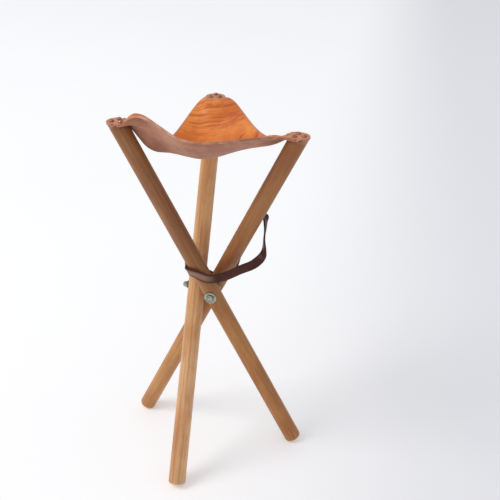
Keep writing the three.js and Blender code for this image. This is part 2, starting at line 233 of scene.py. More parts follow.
def wood_finish(leg, length):
    """Oiled wood with its grain along the leg, with painted light and shade from each leg's factors, paler
    where the ends are worn.
    """
    look = Finish(f"wood_{leg}")
    seed = LEGS.index(leg) + 1
    place = look.object_place()
    shift = (seed * 0.37, seed * 0.61, seed * 1.3)
    grain = look.mapped(place, scale=(1, 1, 0.05), location=shift)
    fibre = look.noise(grain, 1300, detail=5, roughness=0.65)
    streak = look.noise(look.mapped(place, scale=(1, 1, 0.035), location=shift), 140, detail=4)
    patch = look.noise(look.mapped(place, scale=(1, 1, 0.3), location=shift), 38, detail=3)
    tilted = look.mapped(place, location=(0.045, 0.02 * seed, 0), rotation=(0.035, -0.03, 0.5 * seed))
    ring = look.rings(tilted, 62, 2.4)
    colour = look.mix(look.span(patch, 0.36, 0.66), srgb(190, 132, 82), srgb(212, 160, 108))
    colour = look.mix(look.span(ring, 0.3, 0.95, 0, 0.22), colour, srgb(170, 104, 56))
    colour = look.mix(look.span(streak, 0.5, 0.72, 0, 0.6), colour, srgb(172, 98, 50))
    colour = look.mix(look.span(streak, 0.44, 0.3, 0, 0.35), colour, srgb(222, 178, 128))
    colour = look.mix(look.span(fibre, 0.52, 0.74, 0, 0.5), colour, srgb(128, 78, 42))
    along = look.part(place, "Z")
    # Painted light and shade: the colour is multiplied by the leg's factors, blending from the foot's to the
    # top's.
    low, high = LEG_PAINTED_LIGHT_AND_SHADE[leg]
    painted_shading = look.mix(look.span(along, 0.18, 0.5), low, high)
    colour = look.mix(1.0, colour, painted_shading, "MULTIPLY")
    worn_foot = look.span(along, 0.0045, 0.0015)
    worn_top = look.span(along, (length - 3) * MM, (length + 2) * MM, 0, 0.3)
    worn = look.sums("MAXIMUM", worn_foot, worn_top)
    colour = look.mix(look.sums("MULTIPLY", worn, 0.75), colour, srgb(220, 190, 150))
    dirt = look.sums("MULTIPLY", look.span(along, 0.05, 0.0), look.span(patch, 0.4, 0.7, 0, 0.4))
    colour = look.mix(dirt, colour, srgb(136, 112, 88))
    rough = look.span(streak, 0.3, 0.75, 0.42, 0.62)
    normal = look.bump(fibre, 0.00025, 0.6)
    normal = look.bump(ring, 0.0002, 0.3, normal)
    return look.done(
        Base_Color=colour, Roughness=rough, Normal=normal, Coat_Weight=0.12, Coat_Roughness=0.35
    )


def seat_grain_finish():
    """The smooth side of the seat leather: tan, with growth lines across each corner."""
    look = Finish("seat_grain_side")
    place = look.attribute("rest")
    corner = look.attribute("corner")
    wear = look.attribute("wear")
    patch = look.noise(place, 17, detail=4)
    mottle = look.noise(place, 90, detail=5, roughness=0.7)
    line = look.noise(look.mapped(corner, scale=(0.07, 1, 0.35)), 190, detail=3, distortion=0.35)
    fine = look.noise(look.mapped(corner, scale=(0.05, 1, 0.35)), 480, detail=3, distortion=0.2)
    reach = look.part(corner, "Y")
    near_corner = look.span(reach, 0.0, 0.05)
    colour = look.mix(look.span(patch, 0.34, 0.66), srgb(216, 112, 38), srgb(250, 154, 70))
    colour = look.mix(look.span(mottle, 0.4, 0.75, 0, 0.3), colour, srgb(186, 82, 28))
    lines = look.sums("MULTIPLY", look.span(line, 0.5, 0.6, 0, 0.6), near_corner)
    colour = look.mix(lines, colour, srgb(178, 72, 30))
    pale = look.sums("MULTIPLY", look.span(line, 0.44, 0.34, 0, 0.4), near_corner)
    colour = look.mix(pale, colour, srgb(250, 160, 78))
    thin = look.sums("MULTIPLY", look.span(fine, 0.54, 0.7, 0, 0.4), near_corner)
    colour = look.mix(thin, colour, srgb(160, 70, 30))
    handled = look.span(look.noise(place, 8, detail=2), 0.55, 0.75, 0, 0.3)
    colour = look.mix(handled, colour, srgb(176, 88, 42))
    worn = look.sums("MAXIMUM", look.part(wear, "X"), look.part(wear, "Y"))
    colour = look.mix(look.sums("MULTIPLY", worn, 0.7), colour, srgb(196, 140, 116))
    pebble = look.cells(place, 1500)
    rough = look.span(mottle, 0.3, 0.75, 0.4, 0.58)
    normal = look.bump(pebble, 0.00012, 0.35)
    normal = look.bump(lines, -0.0004, 0.5, normal)
    return look.done(
        Base_Color=colour, Roughness=rough, Normal=normal, Specular_IOR_Level=0.35
    )


def seat_flesh_finish():
    """The underside of the seat leather: napped, pinkish brown."""
    look = Finish("seat_flesh_side")
    place = look.attribute("rest")
    patch = look.noise(place, 22, detail=4)
    nap = look.noise(place, 700, detail=6, roughness=0.75)
    corner = look.attribute("corner")
    strand = look.noise(look.mapped(corner, scale=(0.25, 1, 1)), 260, detail=4, distortion=1.2)
    colour = look.mix(look.span(patch, 0.32, 0.68), srgb(158, 100, 76), srgb(192, 134, 104))
    colour = look.mix(look.span(nap, 0.45, 0.75, 0, 0.4), colour, srgb(144, 94, 74))
    colour = look.mix(look.span(strand, 0.52, 0.72, 0, 0.3), colour, srgb(214, 174, 152))
    normal = look.bump(nap, 0.0004, 0.6)
    normal = look.bump(strand, 0.0003, 0.4, normal)
    return look.done(
        Base_Color=colour, Roughness=0.92, Normal=normal, Sheen_Weight=0.12, Sheen_Roughness=0.5
    )


def seat_edge_finish():
    """The cut edge of the seat leather: paler, rubbed smooth."""
    look = Finish("seat_cut_edge")
    place = look.attribute("rest")
    layers = look.noise(look.mapped(place, scale=(0.4, 0.4, 3)), 420, detail=5)
    patch = look.noise(place, 60, detail=3)
    colour = look.mix(look.span(patch, 0.35, 0.65), srgb(190, 132, 106), srgb(218, 164, 138))
    colour = look.mix(look.span(layers, 0.5, 0.72, 0, 0.45), colour, srgb(158, 104, 82))
    normal = look.bump(layers, 0.0003, 0.5)
    return look.done(Base_Color=colour, Roughness=0.66, Normal=normal)


def strap_finish():
    """Dark red-brown strap leather, creased, with a painted sheen: pale down the band's middle near the
    start of the loop.
    """
    look = Finish("strap_leather_finish")
    band = look.attribute("band")
    patch = look.noise(look.mapped(band, scale=(0.5, 1, 1)), 70, detail=4)
    crease = look.noise(look.mapped(band, scale=(1, 0.18, 1)), 420, detail=4, distortion=0.8)
    pebble = look.cells(band, 1300)
    across = look.sums("ABSOLUTE", look.part(band, "Y"), 0)
    edge = look.span(across, 0.0062, 0.0078)
    colour = look.mix(look.span(patch, 0.33, 0.68), srgb(58, 22, 15), srgb(80, 34, 24))
    colour = look.mix(look.span(crease, 0.54, 0.72, 0, 0.5), colour, srgb(54, 24, 20))
    colour = look.mix(look.sums("MULTIPLY", edge, 0.7), colour, srgb(52, 26, 22))
    # Painted sheen: the loop's first 45 to 70 mm, at the front left, turn pale along the band's middle,
    # standing in for a highlight.
    travelled = look.part(band, "X")
    painted_sheen_stretch = look.span(travelled, 0.07, 0.045)
    painted_sheen = look.sums("MULTIPLY", painted_sheen_stretch, look.span(across, 0.0072, 0.002, 0, 0.95))
    colour = look.mix(painted_sheen, colour, srgb(150, 112, 92))
    rough = look.span(patch, 0.3, 0.7, 0.36, 0.5)
    normal = look.bump(pebble, 0.00015, 0.35)
    normal = look.bump(crease, -0.0003, 0.4, normal)
    return look.done(
        Base_Color=colour, Roughness=rough, Normal=normal, Specular_IOR_Level=0.3, Coat_Weight=0.06
    )


def metal_finish(name, clean, stained, rough_low, rough_high, seed):
    """Plated metal with stains, fine scratches and small dents."""
    look = Finish(name)
    place = look.mapped(look.object_place(), location=(seed, seed * 0.4, 0))
    stain = look.noise(place, 260, detail=5, roughness=0.65)
    scratch = look.noise(look.mapped(place, scale=(1, 0.06, 1), rotation=(0, 0, 0.6)), 2600, detail=3)
    dent = look.noise(place, 700, detail=3)
    colour = look.mix(look.span(stain, 0.38, 0.66), clean, stained)
    colour = look.mix(look.span(scratch, 0.56, 0.72, 0, 0.35), colour, stained)
    rough = look.span(stain, 0.3, 0.7, rough_low, rough_high)
    normal = look.bump(dent, 0.00015, 0.5)
    normal = look.bump(scratch, 0.00005, 0.5, normal)
    return look.done(Base_Color=colour, Metallic=1.0, Roughness=rough, Normal=normal)


# ---- mesh helpers ----
def mesh_object(name, points, faces, material, sharp=40):
    """A smooth-shaded mesh in metres from points in millimetres. Edges over sharp degrees stay sharp."""
    mesh = bpy.data.meshes.new(name)
    mesh.from_pydata([tuple(float(x) * MM for x in p) for p in points], [], faces)
    mesh.validate()
    mesh.shade_smooth()
    mesh.set_sharp_from_angle(angle=math.radians(sharp))
    mesh.materials.append(material)
    obj = bpy.data.objects.new(name, mesh)
    bpy.context.scene.collection.objects.link(obj)
    return obj


def axes_at(point, direction):
    """The matrix that stands a local +Z shape on a point in millimetres, along a direction."""
    turn = Vector(direction).to_track_quat("Z", "Y")
    return Matrix.Translation(Vector(point) * MM) @ turn.to_matrix().to_4x4()


def rounded(profile, radius, steps=4):
    """A profile with each inner corner rounded."""
    points = [Vector(p) for p in profile]
    result = [points[0]]
    for before, here, after in zip(points, points[1:], points[2:]):
        start = here + (before - here).normalized() * min(radius, (before - here).length / 2)
        end = here + (after - here).normalized() * min(radius, (after - here).length / 2)
        for step in range(steps + 1):
            share = step / steps
            result.append(start.lerp(here, share).lerp(here.lerp(end, share), share))
    result.append(points[-1])
    return result


def skin(rows, closed_rows=False):
    """Faces between rows of equally many points, each row a closed loop. A row of one point is a tip."""
    faces = []
    starts = np.cumsum([0] + [len(row) for row in rows])
    pairs = list(zip(range(len(rows) - 1), range(1, len(rows))))
    if closed_rows:
        pairs.append((len(rows) - 1, 0))
    for low, high in pairs:
        count = max(len(rows[low]), len(rows[high]))
        for n in range(count):
            m = (n + 1) % count
            below = [starts[low] + n, starts[low] + m] if len(rows[low]) > 1 else [starts[low]]
            above = [starts[high] + m, starts[high] + n] if len(rows[high]) > 1 else [starts[high]]
            faces.append([int(x) for x in below + above])
    return faces


def turned(name, profile, material, sides=48, closed=False, radius_at=None):
    """A shape turned about Z from a profile of (radius, height)."""
    rows = []
    for radius, height in profile:
        if radius < 1e-6:
            rows.append([(0, 0, height)])
            continue
        row = []
        for n in range(sides):
            angle = 2 * math.pi * n / sides
            reach = radius if radius_at is None else radius_at(radius, angle)
            row.append((reach * math.cos(angle), reach * math.sin(angle), height))
        rows.append(row)
    points = [p for row in rows for p in row]
    return mesh_object(name, points, skin(rows, closed), material)


def combine(obj, other, operation):
    """Cuts other from obj, or joins it, and removes other."""
    modifier = obj.modifiers.new("cut", "BOOLEAN")
    modifier.operation = operation
    modifier.solver = "EXACT"
    modifier.object = other
    bpy.context.view_layer.update()
    graph = bpy.context.evaluated_depsgraph_get()
    mesh = bpy.data.meshes.new_from_object(obj.evaluated_get(graph))
    obj.modifiers.clear()
    obj.data = mesh
    bpy.data.objects.remove(other)
    mesh.shade_smooth()
    mesh.set_sharp_from_angle(angle=math.radians(40))
    return obj


def stands_for(obj, node, body):
    """Puts a finished piece on its body, in place of a CAD node."""
    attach(obj, body)
    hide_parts(node)
    return obj


# ---- legs ----
def foot_point(leg):
    lean = math.acos(DIRECTION[leg][2])
    rise = (LEG_RADIUS - FOOT_ROUNDING) * math.sin(lean) + FOOT_ROUNDING * (1 - math.cos(lean))
    return on_leg(leg, rise)


def leg_rows(leg, axes):
    """Rings of points up the leg: a level top, rounded rims and a slightly uneven side."""
    sides, lengthwise, rim = 72, 96, 1.0
    foot_z, rise = axes[2][3] / MM, Vector(axes[2][:3])
    rows = [[(0, 0, 0)]]
    for radius in (4, 8, LEG_RADIUS - FOOT_ROUNDING):
        rows.append([(radius * math.cos(a), radius * math.sin(a), 0) for a in angles(sides)])
    for step in range(1, 7):
        turn = step / 6 * math.pi / 2
        radius = LEG_RADIUS - FOOT_ROUNDING + FOOT_ROUNDING * math.sin(turn)
        height = FOOT_ROUNDING * (1 - math.cos(turn))
        rows.append([(radius * math.cos(a), radius * math.sin(a), height) for a in angles(sides)])

    def level(x, y):
        return (TOP_HEIGHT[leg] - foot_z - rise[0] * x - rise[1] * y) / rise[2]

    for step in range(1, lengthwise + 1):
        share = step / lengthwise
        row = []
        for angle in angles(sides):
            side = Vector((math.cos(angle), math.sin(angle)))
            top = level(*(side * LEG_RADIUS)) - rim
            height = FOOT_ROUNDING + share * (top - FOOT_ROUNDING)
            lumps = noise.noise(Vector((side.x, side.y, height / 45 + 7 * LEGS.index(leg))))
            easing = min(1, 6 * share, 6 * (1 - share))
            radius = LEG_RADIUS - easing * (0.14 + 0.14 * lumps)
            row.append((*(side * radius), height))
        rows.append(row)
    for inset, drop in ((0.3, 0.35), (rim, 0), (6, 0), (11, 0)):
        reach = LEG_RADIUS - inset
        row = [(reach * math.cos(a), reach * math.sin(a)) for a in angles(sides)]
        rows.append([(x, y, level(x, y) - drop) for x, y in row])
    rows.append([(0, 0, level(0, 0))])
    return rows


def angles(count):
    return [2 * math.pi * n / count for n in range(count)]


def make_leg(leg):
    axes = axes_at(foot_point(leg), DIRECTION[leg])
    rows = leg_rows(leg, axes)
    length = rows[-1][0][2]
    material = wood_finish(leg, length)
    obj = mesh_object(f"wooden_leg_{leg}", [p for row in rows for p in row], skin(rows), material)
    obj.matrix_world = axes
    along = ALONG_EYE if leg == "c" else ALONG_BOLT
    radius = (EYE_SHANK if leg == "c" else BOLT_RADIUS) + CLEARANCE
    half = 2 * LEG_RADIUS
    bore = turned("bore", [(0, -half), (radius, -half), (radius, half), (0, half)], material)
    bore.matrix_world = axes_at(CENTRE[leg], along)
    combine(obj, bore, "DIFFERENCE")
    stands_for(obj, f"leg_{leg}", f"leg_{leg}")


# ---- pivot ----
HEAD_FACE = CROSSING - (LEG_OFFSET + LEG_RADIUS + 2 * GAP + WASHER_THICKNESS) * ALONG_BOLT
NUT_FACE = CROSSING + (LEG_OFFSET + LEG_RADIUS + 2 * GAP + WASHER_THICKNESS) * ALONG_BOLT
EYE_NUT_FACE = CENTRE["c"] + (LEG_RADIUS + 2 * GAP + SMALL_WASHER_THICKNESS) * ALONG_EYE


def dome_profile(radius, height, wall=0.3):
    """From the rim up over a dome to its tip."""
    profile = [(radius, 0)]
    for step in range(9):
        turn = step / 8 * math.pi / 2
        profile.append((radius * math.cos(turn), height * (wall + (1 - wall) * math.sin(turn))))
    profile[-1] = (0, height)
    return profile


def hexagon(flats):
    """The reach of a hexagon with that width across flats, no more than the radius asked for."""

    def reach(radius, angle):
        off_flat = (angle + math.pi / 6) % (math.pi / 3) - math.pi / 6
        return min(radius, flats / 2 / math.cos(off_flat))

    return reach


def make_washer(node, size, face, direction, body, material):
    inner, radius, thickness = size
    corners = [(inner, thickness / 2), (inner, 0), (radius, 0), (radius, thickness), (inner, thickness)]
    profile = rounded(corners + corners[:1], 0.35)[:-1]
    obj = turned(f"plain_{node}", profile, material, sides=64, closed=True)
    start = np.array(face) - (thickness + GAP) * np.array(direction)
    obj.matrix_world = axes_at(start, direction)
    stands_for(obj, node, body)


def make_cap_nut(node, nut, face, direction, body, material):
    """A domed cap nut, chamfered where its corners meet the two faces."""
    corner = nut["flats"] / math.sqrt(3)
    chamfer = 0.12 * nut["flats"]
    dome = nut["flats"] * 0.42
    rise = nut["height"] - nut["hex"]
    profile = [
        (0, nut["hex"] + 0.8),
        (nut["bore"], nut["hex"] - 0.4),
        (nut["bore"], 0),
        (corner - chamfer, 0),
        (corner, 0.45 * chamfer),
        (corner, nut["hex"] - 0.45 * chamfer),
        (corner - chamfer, nut["hex"]),
    ]
    profile += [(radius, nut["hex"] + height) for radius, height in dome_profile(dome, rise, 0.2)]
    obj = turned(f"domed_{node}", profile, material, sides=72, radius_at=hexagon(nut["flats"]))
    obj.matrix_world = axes_at(face, direction)
    stands_for(obj, node, body)


def make_through_bolt(material):
    shank_end = 2 * (LEG_OFFSET + LEG_RADIUS + 2 * GAP + WASHER_THICKNESS) + NUT["hex"] - GAP
    profile = [(0, shank_end), (BOLT_RADIUS - 0.6, shank_end)]
    profile += [(BOLT_RADIUS, shank_end - 0.8), (BOLT_RADIUS, 0)]
    profile += [(HEAD_RADIUS - 0.4, 0), (HEAD_RADIUS, -0.4)]
    profile += [(radius, -height) for radius, height in dome_profile(HEAD_RADIUS, HEAD_HEIGHT)[1:]]
    obj = turned("domed_through_bolt", profile, material, sides=64)
    obj.matrix_world = axes_at(HEAD_FACE, ALONG_BOLT)
    stands_for(obj, "through_bolt", "pivot")


def make_eye_bolt(material):
    inner, half = BOLT_RADIUS + CLEARANCE, EYE_THICKNESS / 2
    corners = [(inner, 0), (inner, -half), (EYE_RADIUS, -half)]
    corners += [(EYE_RADIUS, half), (inner, half), (inner, 0)]
    eye = turned("forged_eye_bolt", rounded(corners, 1.2)[:-1], material, sides=64, closed=True)
    eye.matrix_world = axes_at(CROSSING, ALONG_BOLT)
    start = EYE_RADIUS - 2
    end = EYE_LEG_OFFSET + LEG_RADIUS + 2 * GAP + SMALL_WASHER_THICKNESS + SMALL_NUT["hex"] - GAP
    rod = [(0, start), (EYE_SHANK, start), (EYE_SHANK, end - 0.6), (EYE_SHANK - 0.6, end), (0, end)]
    shank = turned("shank", rod, material, sides=40)
    shank.matrix_world = axes_at(CROSSING, ALONG_EYE)
    combine(eye, shank, "UNION")
    stands_for(eye, "eye_bolt", "pivot")


# ---- seat ----
CORNER_REACH = 34
# For each side's three net points: how far each moves along the side, inward and up.
SIDE_SHIFTS = (
    ((75, -45, 180), (-80, -45, -190), (-110, -45, 85)),
    ((-5, 35, -35), (-15, 50, -70), (-15, 0, 70)),
    ((50, 10, 85), (5, 80, -165), (45, 35, -40)),
)
HOLLOW = (-112, -60, -130)  # how far the net hangs near each corner
TAB_SHARE = 0.25  # of a side's points, at each end
TAB_RELEASE = 1.9 * TAB_SHARE  # from here on a side follows the patch's edge
TAB_TURN = math.radians(100)
SIDE_STEPS = 28
RINGS = 16
FINER = 3  # points in the finished sheet for each one of the coarse grid, each way
END_DENSITY = 0.14  # how much closer the outline's points lie near the corners

TOPS = np.array([on_leg(leg, TOP_HEIGHT[leg]) for leg in LEGS])
TABS = TOPS + (0, 0, GAP + LEATHER / 2)


def unit(vectors):
    lengths = np.linalg.norm(vectors, axis=-1, keepdims=True)
    return vectors / np.maximum(lengths, 1e-9)


SEAT_CENTRE = TOPS.mean(axis=0)
OUTWARD = unit((TABS - SEAT_CENTRE) * (1, 1, 0))


def smoothstep(value, low, high):
    share = np.clip((value - low) / (high - low), 0, 1)
    return share * share * (3 - 2 * share)


def seat_net():
    """The patch's net: each knot's powers and its place."""
    corners = TABS + CORNER_REACH * OUTWARD
    net = []
    for side, shifts in enumerate(SIDE_SHIFTS):
        start, end = side, (side + 1) % 3
        along = unit((corners[end] - corners[start]) * (1, 1, 0))
        inward = np.cross((0, 0, 1), along)
        for step, (slide, draw, lift) in enumerate(shifts):
            point = corners[start] + (corners[end] - corners[start]) * (step + 1) / 4
            powers = [0, 0, 0]
            powers[start], powers[end] = 3 - step, step + 1
            net.append((powers, point + slide * along + draw * inward + (0, 0, lift)))
    for at in range(3):
        powers = [0, 0, 0]
        powers[at] = 4
        net.append((powers, corners[at]))
        inner = np.array([1, 1, 1])
        inner[at] = 2
        net.append((list(inner), inner @ corners / 4 + (0, 0, HOLLOW[at])))
    return net


NET = seat_net()


def patch_point(shares):
    """Points of the seat's patch, for shares of its three corners in the last axis."""
    total = 0
    for powers, knot in NET:
        count = math.factorial(4) / math.prod(math.factorial(p) for p in powers)
        weight = count * np.prod(shares ** np.array(powers), axis=-1)
        total = total + weight[..., None] * knot
    return total


def keep_off_legs(points, clear, below):
    """Moves the points that lie below a leg's top out of that leg."""
    points = points.copy()
    for leg, tab in zip(LEGS, TABS):
        axis = DIRECTION[leg]
        reach = (points[..., 2] - CENTRE[leg][2]) / axis[2]
        offset = points - CENTRE[leg] - reach[..., None] * axis
        away = offset - (offset @ axis)[..., None] * axis
        distance = np.linalg.norm(away, axis=-1)
        inside = (points[..., 2] < tab[2] - below) & (distance < clear)
        points += unit(away) * np.where(inside, clear - distance, 0)[..., None]
    return points


def flat_distance(points, place):
    return np.hypot(points[..., 0] - place[0], points[..., 1] - place[1])


MIDDLE_CLEAR = LEG_RADIUS + LEATHER / 2 + LEG_ROOM


def flatten(points):
    """Near a leg top the leather lies flat on it."""
    points = points.copy()
    for tab in TABS:
        share = smoothstep(flat_distance(points, tab), FLAT_REACH, FLAT_END)
        points[..., 2] = tab[2] + (points[..., 2] - tab[2]) * share
    return keep_off_legs(points, MIDDLE_CLEAR, GAP)


def turn_level(vector, angle):
    x, y, z = vector
    cos, sin = math.cos(angle), math.sin(angle)
    return np.array((x * cos - y * sin, x * sin + y * cos, z))


def tab_shift(corner, turn_side, share, point):
    """How far a point of the outline moves to lie on the round corner of the seat."""
    turn = min(share / TAB_SHARE, 1) * TAB_TURN * turn_side
    target = TABS[corner] + TAB_RADIUS * turn_level(OUTWARD[corner], turn)
    hold = 1 - smoothstep(share, TAB_SHARE, TAB_RELEASE)
    return (target - point) * (1, 1, 0) * hold


def seat_middle():
    """The leather's middle surface as rings of points from its middle to its outline."""
    edges, shifts = [], []
    for side in range(3):
        for step in range(SIDE_STEPS):
            even = step / SIDE_STEPS
            share = even - END_DENSITY * math.sin(2 * math.pi * even)
            edge = np.zeros(3)
            edge[side], edge[(side + 1) % 3] = 1 - share, share
            point = patch_point(edge)
            near, turn_side, from_corner = (side, 1, even) if even < 0.5 else ((side + 1) % 3, -1, 1 - even)
            edges.append(edge)
            shifts.append(tab_shift(near, turn_side, from_corner, point))
    rings = []
    for ring in range(RINGS + 1):
        share = 1 - (1 - ring / RINGS) ** 1.2
        points = patch_point(1 / 3 + share * (np.array(edges) - 1 / 3)) + np.array(shifts) * share**4
        rings.append(flatten(points) if ring else points)
    return relax(np.array(rings))


def relax(grid):
    """Thick leather takes no sharp folds: each inner point moves towards its neighbours."""
    for _ in range(4):
        beside = np.roll(grid, 1, axis=1) + np.roll(grid, -1, axis=1)
        mean = beside / 2
        mean[1:-1] = (beside[1:-1] + grid[:-2] + grid[2:]) / 4
        on_tab = np.min([flat_distance(grid, tab) for tab in TABS], axis=0) < FLAT_REACH
        moved = keep_off_legs((grid + mean) / 2, MIDDLE_CLEAR, GAP)
        held = on_tab[..., None]
        grid = np.concatenate([grid[:2], np.where(held, grid, moved)[2:]])
    return grid


def finer(grid, times, closed):
    """Points added between the rows of a grid, on smooth curves through them."""

    def following(rows):
        last = rows[:1] if closed else [2 * rows[-1] - rows[-2]]
        return np.concatenate([rows[1:], last])

    before = following(grid[::-1])[::-1]
    after = following(grid)
    beyond = following(after)
    rows = []
    spans = len(grid) if closed else len(grid) - 1
    for n in range(spans):
        for step in range(times):
            t = step / times
            rows.append(
                grid[n]
                + 0.5 * t * (after[n] - before[n])
                + t**2 * (before[n] - 2.5 * grid[n] + 2 * after[n] - 0.5 * beyond[n])
                + t**3 * (1.5 * (grid[n] - after[n]) + 0.5 * (beyond[n] - before[n]))
            )
    if not closed:
        rows.append(grid[-1])
    return np.array(rows)


def surface_normals(grid):
    outwards = np.gradient(grid, axis=0)
    around = np.roll(grid, -1, axis=1) - np.roll(grid, 1, axis=1)
    normals = unit(np.cross(outwards, around))
    normals[0] = unit(normals[1].mean(axis=0))
    return normals


def wrinkles(grid, corner_places):
    """Small waves in the leather: broad ones all over, narrow ones across each corner."""
    heights = np.zeros(grid.shape[:2])
    for index in np.ndindex(heights.shape):
        x, y, z = grid[index]
        broad = noise.noise(Vector((x / 26, y / 26, z / 40)))
        across, reach, _ = corner_places[index]
        narrow = noise.noise(Vector((across / 60, reach / 5.5, 3.1)))
        heights[index] = 0.45 * broad + 0.22 * narrow * smoothstep(reach, 40, 80)
    flat = np.min([smoothstep(flat_distance(grid, tab), 12, 30) for tab in TABS], axis=0)
    return heights * flat


def corner_frame(points, corner):
    """Places seen from the seat's middle: across, towards the corner, and up."""
    along = OUTWARD[corner]
    across = np.cross(along, (0, 0, 1))
    offset = points - SEAT_CENTRE
    return np.stack([offset @ across, offset @ along, offset[..., 2]], axis=-1)


# The cut edge's section from the upper face to the lower: (share of half the thickness, bulge).
EDGE_SECTION = ((0.88, 0.45), (0.55, 0.75), (0, 0.85), (-0.55, 0.75), (-0.88, 0.45))


def seat_sectors():
    """The seat as three closed thirds that meet at its middle, one for each leg."""
    middle = finer(finer(seat_middle(), FINER, False).swapaxes(0, 1), FINER, True).swapaxes(0, 1)
    middle = keep_off_legs(middle, MIDDLE_CLEAR, GAP)
    count = middle.shape[1]
    third = count // 3
    sector_of = ((np.arange(count) + third // 2) // third) % 3
    places = np.zeros_like(middle)
    for corner in range(3):
        places[:, sector_of == corner] = corner_frame(middle[:, sector_of == corner], corner)
    normals = surface_normals(middle)
    middle = middle + normals * wrinkles(middle, places)[..., None]
    normals = surface_normals(middle)
    half = LEATHER / 2
    upper = keep_off_legs(middle + half * normals, LEG_RADIUS + GAP, LEATHER / 2)
    lower = keep_off_legs(middle - half * normals, LEG_RADIUS + GAP, LEATHER / 2)
    outwards = middle[-1] - middle[-2]
    outwards = unit(outwards - np.sum(outwards * normals[-1], axis=-1)[:, None] * normals[-1])
    rim = [middle[-1] + share * half * normals[-1] + bulge * outwards for share, bulge in EDGE_SECTION]
    rim_normals = [unit(share * normals[-1] + 1.6 * bulge * outwards) for share, bulge in EDGE_SECTION]
    sheet = {
        "upper": upper,
        "lower": lower,
        "rim": np.array(rim),
        "normals": normals,
        "rim_normals": np.array(rim_normals),
    }
    return [make_sector(sheet, corner, third) for corner in range(3)]


def make_sector(sheet, corner, third):
    """One third of the seat, closed by its two cut faces."""
    count = 3 * third
    columns = [(n + corner * third - third // 2) % count for n in range(third + 1)]
    rings = len(sheet["upper"])
    points, normals, wear = [], [], []

    def add(place, normal, reach=1):
        on_tab = 1 - smoothstep(flat_distance(place, TABS[corner]), 15, 30)
        points.append(place)
        normals.append(normal)
        wear.append((smoothstep(reach, 0.93, 1), on_tab, 0))
        return len(points) - 1

    def layer(name, side):
        tip = add(sheet[name][0, 0], side * sheet["normals"][0, 0], 0)
        rows = [[tip] * len(columns)]
        for ring in range(1, rings):
            reach = ring / (rings - 1)
            row = [(sheet[name][ring, c], side * sheet["normals"][ring, c]) for c in columns]
            rows.append([add(place, normal, reach) for place, normal in row])
        return rows

    upper, lower = layer("upper", 1), layer("lower", -1)
    edge = [
        [add(row[c], row_normals[c]) for c in columns]
        for row, row_normals in zip(sheet["rim"], sheet["rim_normals"])
    ]
    faces, kinds = [], []

    def face(corners, kind):
        distinct = list(dict.fromkeys(corners))
        if len(distinct) > 2:
            faces.append(distinct)
            kinds.append(kind)

    def strip(first, second, kind):
        for n in range(len(columns) - 1):
            face([first[n], second[n], second[n + 1], first[n + 1]], kind)

    for ring in range(rings - 1):
        strip(upper[ring], upper[ring + 1], GRAIN)
        strip(lower[ring + 1], lower[ring], FLESH)
        for side, order in ((0, 1), (-1, -1)):
            cut = [upper[ring][side], lower[ring][side], lower[ring + 1][side], upper[ring + 1][side]]
            face(cut[::order], CUT)
    profile = [upper[-1], *edge, lower[-1]]
    for first, second in zip(profile, profile[1:]):
        strip(first, second, EDGE)
    for side, order in ((0, -1), (-1, 1)):
        face([row[side] for row in profile][::order], CUT)
    obj = sector_object(corner, np.array(points), np.array(normals), faces, kinds)
    store(obj.data, "wear", wear)
    return obj


GRAIN, EDGE, FLESH, CUT = range(4)


def sector_object(corner, points, normals, faces, kinds):
    leg = LEGS[corner]
    obj = mesh_object(f"seat_leather_{leg}", points, faces, SEAT_FINISHES[GRAIN])
    mesh = obj.data
    for material in SEAT_FINISHES[1:]:
        mesh.materials.append(material)
    mesh.polygons.foreach_set("material_index", [min(kind, FLESH) for kind in kinds])
    store(mesh, "rest", points * MM)
    store(mesh, "corner", corner_frame(points, corner) * MM)
    split = []
    for polygon, kind in zip(mesh.polygons, kinds):
        for vertex in polygon.vertices:
            split.append(polygon.normal if kind == CUT else Vector(normals[vertex]))
    mesh.normals_split_custom_set(split)
    return obj


def store(mesh, name, vectors):
    attribute = mesh.attributes.new(name, "FLOAT_VECTOR", "POINT")
    attribute.data.foreach_set("vector", np.asarray(vectors, np.float32).ravel())


BEND_START, BEND_END = 48, 24  # from the seat's middle, and from a leg top's middle


def place_seat():
    for corner, obj in enumerate(seat_sectors()):
        level = TABS[corner][2]
        start = SEAT_CENTRE + BEND_START * OUTWARD[corner]
        end = TABS[corner] - BEND_END * OUTWARD[corner]
        start[2] = end[2] = level
        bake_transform(obj)
        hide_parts("seat")


# ---- seat screws ----
def screw_mesh(material):
    """A slotted round-head wood screw, its head's underside at the origin."""
    head = dome_profile(SCREW_HEAD, SCREW_HEIGHT, 0.2)
    tip = SCREW_LENGTH
    profile = [(0, -tip), (0.5, -tip + 1.5), (SCREW_SHANK, -tip + 6), (SCREW_SHANK, 0)]
    profile += [(SCREW_HEAD - 0.3, 0), (SCREW_HEAD, 0.25)] + head[1:]
    obj = turned("screw_pattern", profile, material, sides=40)
    half_length, half_width = SCREW_HEAD + 1, 0.5
    corners = [(x, y, z) for z in (1.9, SCREW_HEIGHT + 1) for x, y in (
        (-half_length, -half_width),
        (half_length, -half_width),
        (half_length, half_width),
        (-half_length, half_width),
    )]
    sides = [[n, (n + 1) % 4, (n + 1) % 4 + 4, n + 4] for n in range(4)]
    slot = mesh_object("slot", corners, [[3, 2, 1, 0], [4, 5, 6, 7], *sides], material)
    combine(obj, slot, "DIFFERENCE")
    mesh = obj.data
    bpy.data.objects.remove(obj)
    return mesh


def place_screws(material):
    mesh = screw_mesh(material)
    for corner, leg in enumerate(LEGS):
        for n in range(3):
            place = TABS[corner] + SCREW_CIRCLE * turn_level(OUTWARD[corner], n * 2 * math.pi / 3)
            place[2] += LEATHER / 2 + GAP
            obj = bpy.data.objects.new(f"round_head_screw_{leg}{n + 1}", mesh)
            bpy.context.scene.collection.objects.link(obj)
            slot_turn = Matrix.Rotation(0.7 + 1.9 * n + 0.8 * corner, 4, "Z")
            obj.matrix_world = Matrix.Translation(Vector(place) * MM) @ slot_turn
            stands_for(obj, f"screw_{leg}{n + 1}", f"leg_{leg}")


